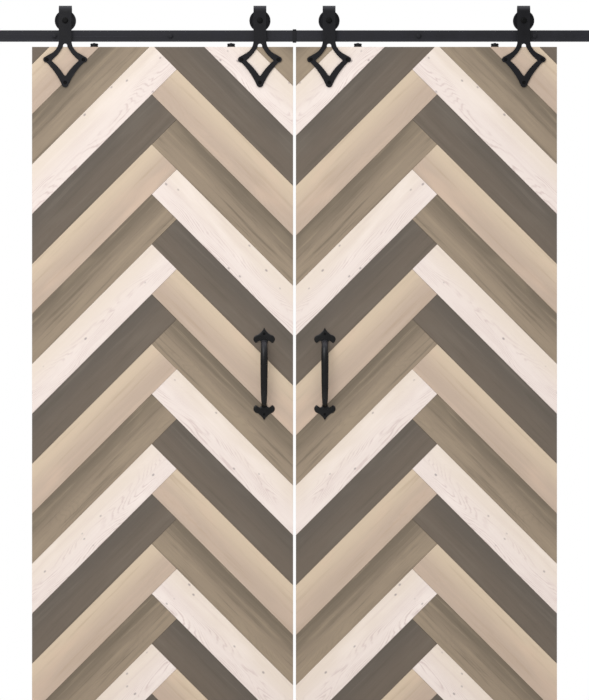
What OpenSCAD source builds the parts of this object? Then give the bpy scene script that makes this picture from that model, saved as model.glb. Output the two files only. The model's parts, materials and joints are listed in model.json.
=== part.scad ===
// A pair of sliding barn doors with their rail, rollers, pulls and floor guides.
// X runs along the wall, +Y points into the wall and Z is up. The origin is the middle of
// the row of wall bolts, on the wall's face, at the height of the rail's centre line.

/* [Doors] */
// Width of one door
door_w = 914.4; // [750:0.1:1200]
// Height of one door
door_h = 2438.4; // [1900:0.1:2950]
// Thickness of the backing panel behind the planks
core_t = 26; // [22:1:40]
// Gap between the two closed doors
door_gap = 10; // [6:1:20]
// Gap from the rail's lower edge to the top of a door
top_gap = 19; // [15:1:30]

/* [Herringbone planks] */
// Width of a plank
plank_w = 123.7; // [95:0.1:160]
// Thickness of a plank
plank_t = 10; // [8:1:14]
// Joint left open between planks
plank_joint = 0.6; // [0.2:0.1:1.5]
// Distance of the zigzag's middle from the outer edge of a door
zigzag_x = 463.2; // [350:0.1:650]
// Drop from the top of a door to an inner corner of the zigzag
zigzag_drop = 166.3; // [100:0.1:220]

/* [Rail] */
// Height of the flat rail
rail_h = 40; // [32:1:50]
// Thickness of the flat rail
rail_t = 6; // [5:0.5:8]
// Length of the spacers between wall and rail
spacer_l = 38; // [36:1:60]
// Distance from the rail's joint to the first wall bolt
first_bolt = 435; // [300:1:440]
// Spacing of the wall bolts
bolt_pitch = 406.4; // [300:0.1:610]
// Radius of a wall bolt's shank
wall_bolt_r = 4; // [3:0.5:6]
// Length of a wall bolt inside the wall
wall_bolt_depth = 62; // [40:1:90]
// Width of the collar that covers the rail's joint
collar_w = 12.6; // [8:0.1:20]

/* [Hangers] */
// Distance of a hanger from the side of its door
hanger_inset = 116.2; // [100:0.1:180]
// Width of a hanger strap
strap_w = 45; // [38:1:60]
// Thickness of a hanger strap
strap_t = 5; // [4:0.5:7]
// Radius of the wheel's rim on which it runs
wheel_run_r = 33; // [28:0.5:38]
// Height of the wheel's flanges
flange_h = 4; // [3:0.5:7]
// Width of a wheel
wheel_w = 24; // [22:1:30]
// Radius of an axle bolt
axle_r = 5; // [4:0.5:6]
// Width of the diamond at the bottom of a hanger
diamond_w = 154; // [140:1:200]
// Drop from the top of a door to the tip of the diamond
diamond_drop = 142; // [130:1:200]

/* [Pull handles] */
// Distance of a pull from the inner side of its door
pull_inset = 101.3; // [60:0.1:200]
// Drop from the top of a door to the upper tip of its pull
pull_drop = 984; // [700:1:1100]
// Length of a pull from tip to tip
pull_l = 324; // [250:1:420]
// How far a pull's grip stands out from the door, to its centre
pull_reach = 42; // [36:1:60]
// Radius of the grip at its thickest
grip_r = 12.5; // [9:0.5:15]

/* [Travel and floor] */
// How much of the doorway an open door still overlaps
overlap = 54.4; // [40:0.1:120]
// Gap between a door and the floor
floor_gap = 12; // [10:1:25]
// Thickness of the floor guide's fin
fin_t = 6; // [4:1:8]
// Depth of the groove under a door
groove_d = 16; // [12:1:25]

/* [Hidden] */
$fn = 64;
clearance = 0.3; // between parts that move past each other
hole_gap = 0.1; // between a screw and its hole, on the radius
shank_relief = 0.2; // how much slimmer a screw is above its thread, on the radius
// Places of the doors
door_x = -(door_gap / 2 + door_w); // outer side of the left door
door_top = -rail_h / 2 - top_gap;
door_bottom = door_top - door_h;
floor_z = door_bottom - floor_gap;
rail_y = -spacer_l - rail_t / 2; // middle of the rail's thickness
rail_front = -spacer_l - rail_t;
// Places through the thickness of a hanger
leg_gap = 15; // from the middle of the rail to a leg of the strap
door_front = rail_y - leg_gap;
plank_back = door_front + plank_t;
door_back = plank_back + core_t;
door_mid = (door_front + door_back) / 2;
strap_front = door_front - strap_t;
// Wheel and axle
rail_side_gap = 1; // between the rail and a flange
wheel_r = wheel_run_r + flange_h;
axle_z = rail_h / 2 + wheel_run_r + clearance;
bend_z = axle_z + wheel_r - 4;
hangers = [door_x + hanger_inset, door_x + door_w - hanger_inset];
groove_w = rail_t + 2 * rail_side_gap;
bearing_r = 13;
bearing_w = 8;
ball_pitch_r = 9;
ball_r = 1.9;
ball_count = 14;
ring_wall = 2.5;
washer_t = 2;
head_r = axle_r * 1.963; // corner radius of the axle bolt's hexagon
head_t = 6.4;
nut_t = 8;
// Diamond at the end of a strap
tip_r = 12;
nub_r = 10;
nub_x = diamond_w / 2 - nub_r;
nub_z = door_top - 44.5;
tip_z = door_top - diamond_drop + tip_r;
strap_screw_r = 3;
strap_screws = [[-nub_x + 3, nub_z], [nub_x - 3, nub_z], [0, tip_z + 5]];
strap_screw_l = strap_t + plank_t + 0.7 * core_t;
// Rail
bar_l = 2 * door_w; // a track is twice as long as its doorway
travel = door_w - overlap;
spacer_r = 11;
stop_l = 40;
bumper_l = 12;
bumper_r = 11;
stop_x = door_x + hanger_inset - travel - wheel_r - clearance; // face of the left bumper
stop_zone = bar_l + stop_x + spacer_r; // last stretch of a bar, kept free of wall bolts
bolt_count = floor((bar_l - first_bolt - stop_zone) / bolt_pitch) + 1;
bolts = [for (side = [-1, 1], i = [0:bolt_count - 1]) side * (first_bolt + i * bolt_pitch)];
splice_l = 140;
splice_t = 6;
splice_screws_x = [-50, -22, 22, 50];
splice_bite = rail_t - 1.5; // depth of a splice screw in the rail
// Discs on top of a door
disc_inset = door_w * 0.2375;
disc_r = 14;
disc_head_t = 3;
lift = flange_h - 2 * clearance; // a door can't rise further, so its wheels stay on the rail
disc_t = top_gap - disc_head_t - lift;
discs = [door_x + disc_inset, door_x + door_w - disc_inset];
disc_screw_r = 2.5;
disc_screw_l = 36;
// Pull
pull_x = door_x + door_w - pull_inset;
pull_top = door_top - pull_drop;
pull_plate_t = 4;
plate_l = 52; // from the tip of a plate to the foot of the grip
pull_screw_r = 2.2;
pull_screw_l = pull_plate_t + plank_t + 0.6 * core_t;
pull_screws = [pull_top - 21, pull_top - pull_l + 21];
grip_rings = 30;
grip_sides = 24;
// Floor guide
guide_x = door_x + overlap / 2;
guide_l = overlap - 4;
guide_base = [guide_l, 46, 3];
fin_gap = 0.9; // between the fin and a side of its groove
fin_clear = 4.5; // from the fin's top to the groove's bottom
guide_screw_r = 2.5;
guide_screw_l = 28;
guide_screw_y = 15;

// Points on an arc of radius r from p to q. Its centre lies left of the way from p to q.
function arc(p, q, r, steps = 10) =
    let (way = q - p, len = norm(way))
    let (c = (p + q) / 2 + sqrt(r * r - len * len / 4) * [-way[1], way[0]] / len)
    let (a = atan2(p[1] - c[1], p[0] - c[0]), b = atan2(q[1] - c[1], q[0] - c[0]))
    let (turn = (b - a + 540) % 360 - 180)
    [for (i = [0:steps]) c + r * [cos(a + turn * i / steps), sin(a + turn * i / steps)]];

// The same points on the other side of the upright axis, in reverse order.
function mirrored(points) = [for (i = [len(points) - 1:-1:0]) [-points[i][0], points[i][1]]];

// A piece made for the left door, as it is or mirrored for the right door.
module on_side(side) {
    if (side < 0) children();
    else mirror([1, 0, 0]) children();
}

// An outline in X and Z, extruded in Y from back - t to back.
module upright(back, t) {
    translate([0, back, 0]) rotate([90, 0, 0]) linear_extrude(t) children();
}

// A rod along Y from y1 to y2.
module rod(r, y1, y2, sides = 64) {
    translate([0, y1, 0]) rotate([-90, 0, 0]) cylinder(r = r, h = y2 - y1, $fn = sides);
}

// A tube along Y from y1 to y2.
module tube(r, bore, y1, y2) {
    difference() {
        rod(r, y1, y2);
        rod(bore, y1 - 1, y2 + 1);
    }
}

// A screw along +Z with a low round head. The head's underside is at z = 0, and a slimmer
// neck comes before the thread.
module dome_screw(r, head, height, length, neck = 1) {
    rotate_extrude()
        polygon([
            [0, height], [head * 0.5, height * 0.88], [head * 0.85, height * 0.5],
            [head, 0], [r - shank_relief, 0], [r - shank_relief, -neck], [r, -neck],
            [r, r - length], [0, -length]
        ]);
}

// A screw that enters the door from the front, with its head's underside at y.
module front_screw(y, r, head, height, length) {
    translate([0, y, 0]) rotate([90, 0, 0]) dome_screw(r, head, height, length);
}

// ---------------------------------------------------------------- rail

module rail_bar() {
    difference() {
        translate([0, rail_front, -rail_h / 2]) cube([bar_l, rail_t, rail_h]);
        for (x = bolts) translate([x, 0, 0]) rod(wall_bolt_r + 0.5, rail_front - 1, 0);
        for (x = splice_screws_x)
            translate([x, 0, 0])
                rod(wall_bolt_r - 1 + hole_gap, -spacer_l - splice_bite, -spacer_l + 1);
    }
}

module rail_left() {
    color("#3a393e") mirror([1, 0, 0]) rail_bar();
}

module rail_right() {
    color("#3a393e") rail_bar();
}

module rail_collar() {
    lip = 3.5;
    color("#2c2c2e")
        difference() {
            translate([-collar_w / 2, rail_front - 2.5, -rail_h / 2 - lip])
                cube([collar_w, rail_t + 2.5, rail_h + 2 * lip]);
            translate([-collar_w, rail_front, -rail_h / 2])
                cube([2 * collar_w, 2 * rail_t, rail_h]);
        }
}

module splice_plate() {
    color("#333336")
        difference() {
            translate([-splice_l / 2, -spacer_l, -rail_h / 2 + 4])
                cube([splice_l, splice_t, rail_h - 8]);
            for (x = splice_screws_x)
                translate([x, 0, 0])
                    rod(wall_bolt_r - 1 + hole_gap, -spacer_l - 1, -spacer_l + splice_t + 1);
        }
}

module splice_screws() {
    color("#222224")
        for (x = splice_screws_x)
            translate([x, -spacer_l + splice_t, 0])
                rotate([-90, 0, 0])
                    dome_screw(wall_bolt_r - 1, 5.5, 3, splice_t + splice_bite - 0.2);
}

module wall_spacers() {
    color("#333336")
        for (x = bolts)
            translate([x, 0, 0]) tube(spacer_r, wall_bolt_r + 0.5, -spacer_l, 0);
}

module wall_bolts() {
    color("#222224")
        for (x = bolts)
            translate([x, 0, 0]) {
                rod(wall_bolt_r - shank_relief, rail_front - washer_t, 0);
                rod(wall_bolt_r, 0, wall_bolt_depth - wall_bolt_r);
                translate([0, wall_bolt_depth - wall_bolt_r, 0])
                    rotate([-90, 0, 0])
                        cylinder(r1 = wall_bolt_r, r2 = 0.5, h = wall_bolt_r);
                rod(wall_bolt_r * 1.87, rail_front - washer_t - 5, rail_front - washer_t, 6);
            }
}

module wall_bolt_washers() {
    color("#333336")
        for (x = bolts)
            translate([x, 0, 0])
                tube(spacer_r - 1, wall_bolt_r + 0.4, rail_front - washer_t, rail_front);
}

// The block of the left end stop: it straddles the rail's upper part.
module stop_block() {
    depth = rail_t + 16;
    foot = -rail_h * 0.3;
    difference() {
        translate([stop_x - bumper_l - stop_l, rail_y - depth / 2, foot])
            cube([stop_l, depth, axle_z + bumper_r + 4 - foot]);
        translate([stop_x - bumper_l - stop_l - 1, rail_front, foot - 1])
            cube([stop_l + 2, rail_t, rail_h / 2 - foot + 1]);
        translate([stop_x - bumper_l - 9, rail_y, axle_z])
            rotate([0, 90, 0]) cylinder(r = 4, h = 10);
        for (x = [10, stop_l - 10])
            translate([stop_x - bumper_l - x, 0, 4])
                rod(3 + hole_gap, rail_y - depth, rail_front + 1);
    }
}

module end_stops() {
    color("#2c2c2e")
        for (side = [-1, 1]) on_side(side) stop_block();
}

module stop_bumpers() {
    color("#18181a")
        for (side = [-1, 1])
            on_side(side)
                translate([stop_x - bumper_l, rail_y, axle_z])
                    rotate([0, 90, 0]) {
                        cylinder(r = bumper_r, h = bumper_l);
                        translate([0, 0, -8]) cylinder(r = 3.9, h = 9);
                    }
}

module stop_screws() {
    block_front = rail_y - rail_t / 2 - 8;
    color("#222224")
        for (side = [-1, 1])
            on_side(side)
                for (x = [10, stop_l - 10])
                    translate([stop_x - bumper_l - x, 0, 4])
                        front_screw(block_front, 3, 5.2, 3.5, 8);
}

// ---------------------------------------------------------------- floor guides

module guide_body() {
    base = guide_base;
    difference() {
        union() {
            translate([guide_x - base[0] / 2, door_mid - base[1] / 2, floor_z]) cube(base);
            translate([guide_x - base[0] / 2, door_mid - fin_t / 2, floor_z])
                cube([base[0], fin_t, floor_gap + groove_d - fin_clear]);
        }
        for (s = [-1, 1])
            translate([guide_x, door_mid + s * guide_screw_y, floor_z - 1])
                cylinder(r = guide_screw_r + hole_gap, h = 10);
    }
}

module floor_guides() {
    color("#2c2c2e")
        for (side = [-1, 1]) on_side(side) guide_body();
}

module guide_screws() {
    color("#222224")
        for (side = [-1, 1])
            on_side(side)
                for (s = [-1, 1])
                    translate([guide_x, door_mid + s * guide_screw_y, floor_z + guide_base[2]])
                        dome_screw(guide_screw_r, 4.6, 2.6, guide_screw_l, guide_base[2]);
}

// ---------------------------------------------------------------- door panels

// Holes for the screws that enter the left door from its front.
module front_holes(y) {
    for (x = hangers, p = strap_screws)
        translate([x + p[0], 0, p[1]]) rod(strap_screw_r + hole_gap, y, door_back - 6);
    for (z = pull_screws)
        translate([pull_x, 0, z]) rod(pull_screw_r + hole_gap, y, door_back - 8);
}

module door_core() {
    difference() {
        translate([door_x, plank_back, door_bottom]) cube([door_w, core_t, door_h]);
        translate([door_x - 1, door_mid - fin_t / 2 - fin_gap, door_bottom - 1])
            cube([door_w + 2, fin_t + 2 * fin_gap, groove_d + 1]);
        front_holes(plank_back - 1);
        for (x = discs)
            translate([x, door_mid, door_top - disc_screw_l])
                cylinder(r = disc_screw_r + hole_gap, h = disc_screw_l + 1);
    }
}

// The herringbone is laid out on two sets of diagonals. Going down a door by one pitch
// crosses one plank. Rising planks lie between two values of u + v and falling planks
// between two values of v - u, where u runs in from the outer side and v down from the top.
plank_pitch = plank_w * sqrt(2);
sum_start = zigzag_x + zigzag_drop - 3.25 * plank_pitch;
dif_start = zigzag_drop - zigzag_x - 0.75 * plank_pitch;
run_out = 2 * door_h - sum_start - dif_start;
rising = [floor(-sum_start / plank_pitch), ceil(run_out / (2 * plank_pitch) + 1) - 1];
falling = [
    floor((-door_w - dif_start) / plank_pitch),
    ceil(run_out / (2 * plank_pitch) - 1.5) - 1
];

// The place where u + v = total and v - u = difference.
function place(total, difference) = [(total - difference) / 2, -(total + difference) / 2];

// A band that is a rising plank before the door's sides cut it.
module rising_plank(i) {
    half = plank_joint / sqrt(2);
    low = sum_start + plank_pitch * i + half;
    high = sum_start + plank_pitch * (i + 1) - half;
    end = dif_start + plank_pitch * (i - 2) + half;
    far = door_w + door_h + 2 * plank_pitch;
    polygon([place(low, end), place(high, end), place(high, end + far), place(low, end + far)]);
}

// A band that is a falling plank before the door's sides cut it.
module falling_plank(i) {
    half = plank_joint / sqrt(2);
    low = dif_start + plank_pitch * i + half;
    high = dif_start + plank_pitch * (i + 1) - half;
    end = sum_start + plank_pitch * (i + 3) + half;
    far = door_w + door_h + 2 * plank_pitch;
    polygon([place(end, low), place(end, high), place(end + far, high), place(end + far, low)]);
}

// All planks of one finish: 0 tan, 1 brown, 2 white and 3 dark.
module planks(finish) {
    difference() {
        union() {
            for (i = [rising[0]:rising[1]])
                if ((i + 4) % 4 == finish) plank() rising_plank(i);
            for (i = [falling[0]:falling[1]])
                if ((i + 4) % 4 == finish) plank() falling_plank(i);
        }
        front_holes(door_front - 1);
    }
}

// A plank: its band, cut off by the door's outline.
module plank() {
    upright(plank_back, plank_t)
        translate([door_x, door_top])
            intersection() {
                translate([0, -door_h]) square([door_w, door_h]);
                children();
            }
}

// ---------------------------------------------------------------- hangers

// The right half of the hanger's outline, from its top down to its tip.
arm_start = [strap_w / 2 + 22.5, door_top - 20.5];
strap_outline = concat(
    [[strap_w / 2, bend_z]],
    arc([strap_w / 2, door_top + 21], arm_start, 50),
    [[nub_x + 5.4, nub_z + 8.4], [nub_x, nub_z]],
    arc([nub_x - 1, nub_z - nub_r + 0.5], [tip_r, tip_z - 2], 260),
    [[0, tip_z]]
);

// The right half of the opening inside the diamond.
window = concat(
    [[0, door_top + 3.5]],
    arc([7.4, door_top + 2], [nub_x - 20.5, nub_z - 1.5], 140),
    arc([nub_x - 20, nub_z - 5], [3, nub_z - 55.5], 210),
    [[0, nub_z - 57]]
);

module hanger_outline() {
    difference() {
        union() {
            polygon(concat(strap_outline, mirrored(strap_outline)));
            for (s = [-1, 1]) translate([s * nub_x, nub_z]) circle(nub_r);
            translate([0, tip_z]) circle(tip_r);
        }
        polygon(concat(window, mirrored(window)));
        translate([0, door_top + 3.5]) circle(7.5);
    }
}

// A flat strap, bent over its wheel: a long leg with the diamond in front of the door, the
// bend above, and a short leg behind the wheel.
module strap(x) {
    translate([x, 0, 0])
        difference() {
            union() {
                upright(door_front, strap_t) hanger_outline();
                bend();
                upright(rail_y + leg_gap + strap_t, strap_t) {
                    translate([-strap_w / 2, axle_z]) square([strap_w, bend_z - axle_z]);
                    translate([0, axle_z]) circle(strap_w / 2);
                }
            }
            translate([0, 0, axle_z])
                rod(axle_r + hole_gap, strap_front - 1, rail_y + leg_gap + strap_t + 1);
            for (p = strap_screws)
                translate([p[0], 0, p[1]])
                    rod(strap_screw_r + hole_gap, strap_front - 1, door_front + 1);
        }
}

// The half ring that joins the legs of a strap.
module bend() {
    outer = leg_gap + strap_t;
    translate([0, rail_y, bend_z])
        difference() {
            rotate([0, 90, 0]) cylinder(r = outer, h = strap_w, center = true);
            rotate([0, 90, 0]) cylinder(r = leg_gap, h = strap_w + 2, center = true);
            translate([-strap_w, -2 * outer, -4 * outer]) cube([2 * strap_w, 4 * outer, 4 * outer]);
        }
}

// What follows draws the same thing at each of the left door's two axles.
module at_axles() {
    for (x = hangers) translate([x, 0, axle_z]) children();
}

module axle_bolts() {
    under_head = strap_front - washer_t;
    tail = rail_y + leg_gap + strap_t + washer_t + nut_t + 2;
    at_axles() {
        rod(axle_r, under_head, tail);
        rod(head_r, under_head - head_t, under_head, 6);
    }
}

module axle_nuts() {
    y = rail_y + leg_gap + strap_t + washer_t;
    at_axles()
        difference() {
            rod(head_r, y, y + nut_t, 6);
            rod(axle_r, y - 1, y + nut_t + 1);
        }
}

module axle_washers() {
    back = rail_y + leg_gap + strap_t;
    at_axles() {
        tube(head_r + 0.6, axle_r + hole_gap, strap_front - washer_t, strap_front);
        tube(head_r + 0.6, axle_r + hole_gap, back, back + washer_t);
    }
}

module axle_sleeves() {
    at_axles()
        for (s = [-1, 1])
            translate([0, rail_y, 0])
                scale_y(s) tube(axle_r + 2.3, axle_r + hole_gap, bearing_w / 2, leg_gap);
}

// Faces its children towards the wall (1) or away from it (-1).
module scale_y(s) {
    if (s > 0) children();
    else mirror([0, 1, 0]) children();
}

// One ring of a ball bearing around Y, with the groove that its balls run in.
module bearing_ring(r, bore) {
    difference() {
        tube(r, bore, -bearing_w / 2, bearing_w / 2);
        rotate([90, 0, 0]) rotate_extrude() translate([ball_pitch_r, 0]) circle(ball_r + 0.2);
    }
}

module bearing_inner_rings() {
    at_axles()
        translate([0, rail_y, 0]) bearing_ring(axle_r + ring_wall, axle_r + hole_gap / 2);
}

module strap_screws_at(x) {
    for (p = strap_screws)
        translate([x + p[0], 0, p[1]])
            front_screw(strap_front, strap_screw_r, 6.4, 3.6, strap_screw_l);
}

// ---------------------------------------------------------------- discs on the door's top

module jump_disc(x) {
    translate([x, door_mid, door_top])
        difference() {
            rotate_extrude()
                polygon([
                    [0, 0], [disc_r, 0], [disc_r, disc_t - 1.5], [disc_r - 1.5, disc_t],
                    [0, disc_t]
                ]);
            translate([0, 0, -1]) cylinder(r = disc_screw_r + hole_gap, h = disc_t + 2);
        }
}

module disc_screw(x) {
    translate([x, door_mid, door_top + disc_t])
        dome_screw(disc_screw_r, 5.5, disc_head_t, disc_screw_l + disc_t - 2);
}

// ---------------------------------------------------------------- pull handle

// The outline of a plate of a pull, its tip at the origin and the grip's foot below.
module spade() {
    side = concat(
        arc([0, 0], [24, -25], 60),
        [[26, -40], [0, -plate_l]]
    );
    difference() {
        union() {
            polygon(concat(side, mirrored(side)));
            for (s = [-1, 1]) translate([s * 22.5, -40]) circle(15);
            translate([0, -plate_l]) circle(10);
        }
        for (s = [-1, 1]) translate([s * 19.5, -57.5]) circle(10);
    }
}

// The grip's centre line: a squared half loop from one plate to the other, at angle a.
function loop_part(value) = sign(value) * pow(abs(value), 0.62);
function grip_point(a) = [
    0,
    door_front - 2 - pull_reach * loop_part(sin(a)),
    pull_top - pull_l / 2 + (pull_l / 2 - plate_l) * loop_part(cos(a))
];

// The grip's half width at angle a: full in the middle, slim at the lower end.
function grip_half(a) = grip_r * (0.66 + 0.34 * sin(a)) + 1.1 * cos(a);

// A ring of points around the grip at angle a.
function grip_ring(a) =
    let (c = grip_point(a), way = grip_point(min(a + 1, 180)) - grip_point(max(a - 1, 0)))
    let (across = [0, way[2], -way[1]] / norm(way))
    [for (k = [0:grip_sides - 1])
        c + grip_half(a) * (cos(360 * k / grip_sides) * [1, 0, 0]
            + 0.8 * sin(360 * k / grip_sides) * across)];

module grip() {
    n = grip_sides;
    points = [for (i = [0:grip_rings]) each grip_ring(180 * i / grip_rings)];
    sides = [
        for (i = [0:grip_rings - 1], k = [0:n - 1])
            [i * n + k, (i + 1) * n + k, (i + 1) * n + (k + 1) % n, i * n + (k + 1) % n]
    ];
    start = [for (k = [0:n - 1]) k];
    end = [for (k = [n - 1:-1:0]) grip_rings * n + k];
    polyhedron(points = points, faces = concat(sides, [start, end]));
}

module pull_handle() {
    translate([pull_x, 0, 0])
        difference() {
            union() {
                upright(door_front, pull_plate_t) translate([0, pull_top]) spade();
                upright(door_front, pull_plate_t)
                    translate([0, pull_top - pull_l]) mirror([0, 1]) spade();
                grip();
            }
            for (z = pull_screws)
                translate([0, 0, z])
                    rod(pull_screw_r + hole_gap, door_front - pull_plate_t - 1, door_front + 1);
        }
}

module pull_screws_here() {
    for (z = pull_screws)
        translate([pull_x, 0, z])
            front_screw(door_front - pull_plate_t, pull_screw_r, 4.6, 2.4, pull_screw_l);
}

// ---------------------------------------------------------------- wheels

// A grooved wheel around Y, with a stepped bore that holds the bearing.
module wheel_at(x) {
    half = wheel_w / 2;
    seat = bearing_w / 2;
    groove = groove_w / 2;
    translate([x, rail_y, axle_z])
        rotate([-90, 0, 0])
            rotate_extrude($fn = 128)
                polygon([
                    [bearing_r, -half], [wheel_r - 1.5, -half], [wheel_r, 1.5 - half],
                    [wheel_r, -groove - 2], [wheel_run_r, -groove], [wheel_run_r, groove],
                    [wheel_r, groove + 2], [wheel_r, half - 1.5], [wheel_r - 1.5, half],
                    [bearing_r - 2, half], [bearing_r - 2, seat], [bearing_r, seat]
                ]);
}

module bearing_outer_at(x) {
    translate([x, rail_y, axle_z]) bearing_ring(bearing_r, bearing_r - ring_wall);
}

module bearing_balls_at(x) {
    translate([x, rail_y, axle_z])
        for (i = [0:ball_count - 1])
            rotate([0, 360 * i / ball_count, 0]) translate([ball_pitch_r, 0, 0]) sphere(ball_r);
}

// ---------------------------------------------------------------- sub-parts

module left_core() { color("#a58f74") door_core(); }
module left_planks_tan() { color("#c8b5a0") planks(0); }
module left_planks_brown() { color("#908271") planks(1); }
module left_planks_white() { color("#eee1d7") planks(2); }
module left_planks_dark() { color("#6e655c") planks(3); }
module left_strap_outer() { color("#2a2a2c") strap(hangers[0]); }
module left_strap_inner() { color("#2a2a2c") strap(hangers[1]); }
module left_axle_bolts() { color("#1c1c1e") axle_bolts(); }
module left_axle_nuts() { color("#1c1c1e") axle_nuts(); }
module left_axle_washers() { color("#3a3a3c") axle_washers(); }
module left_axle_sleeves() { color("#8a8c8e") axle_sleeves(); }
module left_bearing_inner_rings() { color("#b4b6b8") bearing_inner_rings(); }
module left_strap_screws() { color("#1c1c1e") for (x = hangers) strap_screws_at(x); }
module left_jump_discs() { color("#202022") for (x = discs) jump_disc(x); }
module left_disc_screws() { color("#2c2c2e") for (x = discs) disc_screw(x); }
module left_pull_handle() { color("#1e1e20") pull_handle(); }
module left_pull_screws() { color("#161618") pull_screws_here(); }

module right_core() { color("#a58f74") on_side(1) door_core(); }
module right_planks_tan() { color("#c8b5a0") on_side(1) planks(0); }
module right_planks_brown() { color("#908271") on_side(1) planks(1); }
module right_planks_white() { color("#eee1d7") on_side(1) planks(2); }
module right_planks_dark() { color("#6e655c") on_side(1) planks(3); }
module right_strap_outer() { color("#2a2a2c") on_side(1) strap(hangers[0]); }
module right_strap_inner() { color("#2a2a2c") on_side(1) strap(hangers[1]); }
module right_axle_bolts() { color("#1c1c1e") on_side(1) axle_bolts(); }
module right_axle_nuts() { color("#1c1c1e") on_side(1) axle_nuts(); }
module right_axle_washers() { color("#3a3a3c") on_side(1) axle_washers(); }
module right_axle_sleeves() { color("#8a8c8e") on_side(1) axle_sleeves(); }
module right_bearing_inner_rings() { color("#b4b6b8") on_side(1) bearing_inner_rings(); }
module right_strap_screws() { color("#1c1c1e") on_side(1) for (x = hangers) strap_screws_at(x); }
module right_jump_discs() { color("#202022") on_side(1) for (x = discs) jump_disc(x); }
module right_disc_screws() { color("#2c2c2e") on_side(1) for (x = discs) disc_screw(x); }
module right_pull_handle() { color("#1e1e20") on_side(1) pull_handle(); }
module right_pull_screws() { color("#161618") on_side(1) pull_screws_here(); }

// The wheels are numbered from left to right.
module wheel_1() { color("#1a1a1c") wheel_at(hangers[0]); }
module wheel_2() { color("#1a1a1c") wheel_at(hangers[1]); }
module wheel_3() { color("#1a1a1c") on_side(1) wheel_at(hangers[1]); }
module wheel_4() { color("#1a1a1c") on_side(1) wheel_at(hangers[0]); }
module bearing_outer_1() { color("#b4b6b8") bearing_outer_at(hangers[0]); }
module bearing_outer_2() { color("#b4b6b8") bearing_outer_at(hangers[1]); }
module bearing_outer_3() { color("#b4b6b8") on_side(1) bearing_outer_at(hangers[1]); }
module bearing_outer_4() { color("#b4b6b8") on_side(1) bearing_outer_at(hangers[0]); }
module bearing_balls_1() { color("#d0d2d4") bearing_balls_at(hangers[0]); }
module bearing_balls_2() { color("#d0d2d4") bearing_balls_at(hangers[1]); }
module bearing_balls_3() { color("#d0d2d4") on_side(1) bearing_balls_at(hangers[1]); }
module bearing_balls_4() { color("#d0d2d4") on_side(1) bearing_balls_at(hangers[0]); }

rail_left();
rail_right();
rail_collar();
splice_plate();
splice_screws();
wall_spacers();
wall_bolts();
wall_bolt_washers();
end_stops();
stop_bumpers();
stop_screws();
floor_guides();
guide_screws();
left_core();
left_planks_tan();
left_planks_brown();
left_planks_white();
left_planks_dark();
left_strap_outer();
left_strap_inner();
left_axle_bolts();
left_axle_nuts();
left_axle_washers();
left_axle_sleeves();
left_bearing_inner_rings();
left_strap_screws();
left_jump_discs();
left_disc_screws();
left_pull_handle();
left_pull_screws();
right_core();
right_planks_tan();
right_planks_brown();
right_planks_white();
right_planks_dark();
right_strap_outer();
right_strap_inner();
right_axle_bolts();
right_axle_nuts();
right_axle_washers();
right_axle_sleeves();
right_bearing_inner_rings();
right_strap_screws();
right_jump_discs();
right_disc_screws();
right_pull_handle();
right_pull_screws();
wheel_1();
bearing_outer_1();
bearing_balls_1();
wheel_2();
bearing_outer_2();
bearing_balls_2();
wheel_3();
bearing_outer_3();
bearing_balls_3();
wheel_4();
bearing_outer_4();
bearing_balls_4();
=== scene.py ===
"""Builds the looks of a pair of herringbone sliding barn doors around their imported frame."""

import json
import math

import bmesh
import bpy
import numpy as np
from bpy.props import FloatProperty, FloatVectorProperty, IntProperty, PointerProperty
from bpy.types import Operator, Panel, PropertyGroup
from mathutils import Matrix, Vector

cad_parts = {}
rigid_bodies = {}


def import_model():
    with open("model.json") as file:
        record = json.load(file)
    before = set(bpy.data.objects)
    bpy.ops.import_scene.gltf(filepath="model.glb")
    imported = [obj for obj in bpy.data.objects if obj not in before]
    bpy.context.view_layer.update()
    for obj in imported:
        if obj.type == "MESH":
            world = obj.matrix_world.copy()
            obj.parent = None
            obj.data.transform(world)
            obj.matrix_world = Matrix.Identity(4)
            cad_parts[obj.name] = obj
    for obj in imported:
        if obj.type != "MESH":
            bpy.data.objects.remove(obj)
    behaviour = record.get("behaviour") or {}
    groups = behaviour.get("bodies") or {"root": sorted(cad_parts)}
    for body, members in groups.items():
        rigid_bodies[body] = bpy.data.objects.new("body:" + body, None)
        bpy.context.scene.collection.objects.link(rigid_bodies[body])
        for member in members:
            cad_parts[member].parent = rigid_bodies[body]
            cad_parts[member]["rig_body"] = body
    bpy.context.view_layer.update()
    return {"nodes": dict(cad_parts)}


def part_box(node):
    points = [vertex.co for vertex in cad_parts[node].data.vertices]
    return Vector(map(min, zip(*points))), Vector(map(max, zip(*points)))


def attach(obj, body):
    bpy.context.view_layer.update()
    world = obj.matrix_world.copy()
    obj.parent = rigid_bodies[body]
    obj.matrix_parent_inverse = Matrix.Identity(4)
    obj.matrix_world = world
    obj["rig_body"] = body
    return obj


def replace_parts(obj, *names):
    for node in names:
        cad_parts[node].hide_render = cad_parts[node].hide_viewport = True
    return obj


bl_info = {
    "name": "Sliding Barn Doors",
    "version": (1, 0, 0),
    "blender": (4, 5, 0),
    "location": "View3D > Sidebar > Barn Doors",
    "description": "Planks, hangers, pulls and rail of a pair of sliding barn doors",
    "category": "Object",
}

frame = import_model()
TAU = 2 * math.pi
MM = 0.001
SIDES = {"left": 1, "right": -1}  # what a left piece's X is multiplied by

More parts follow.
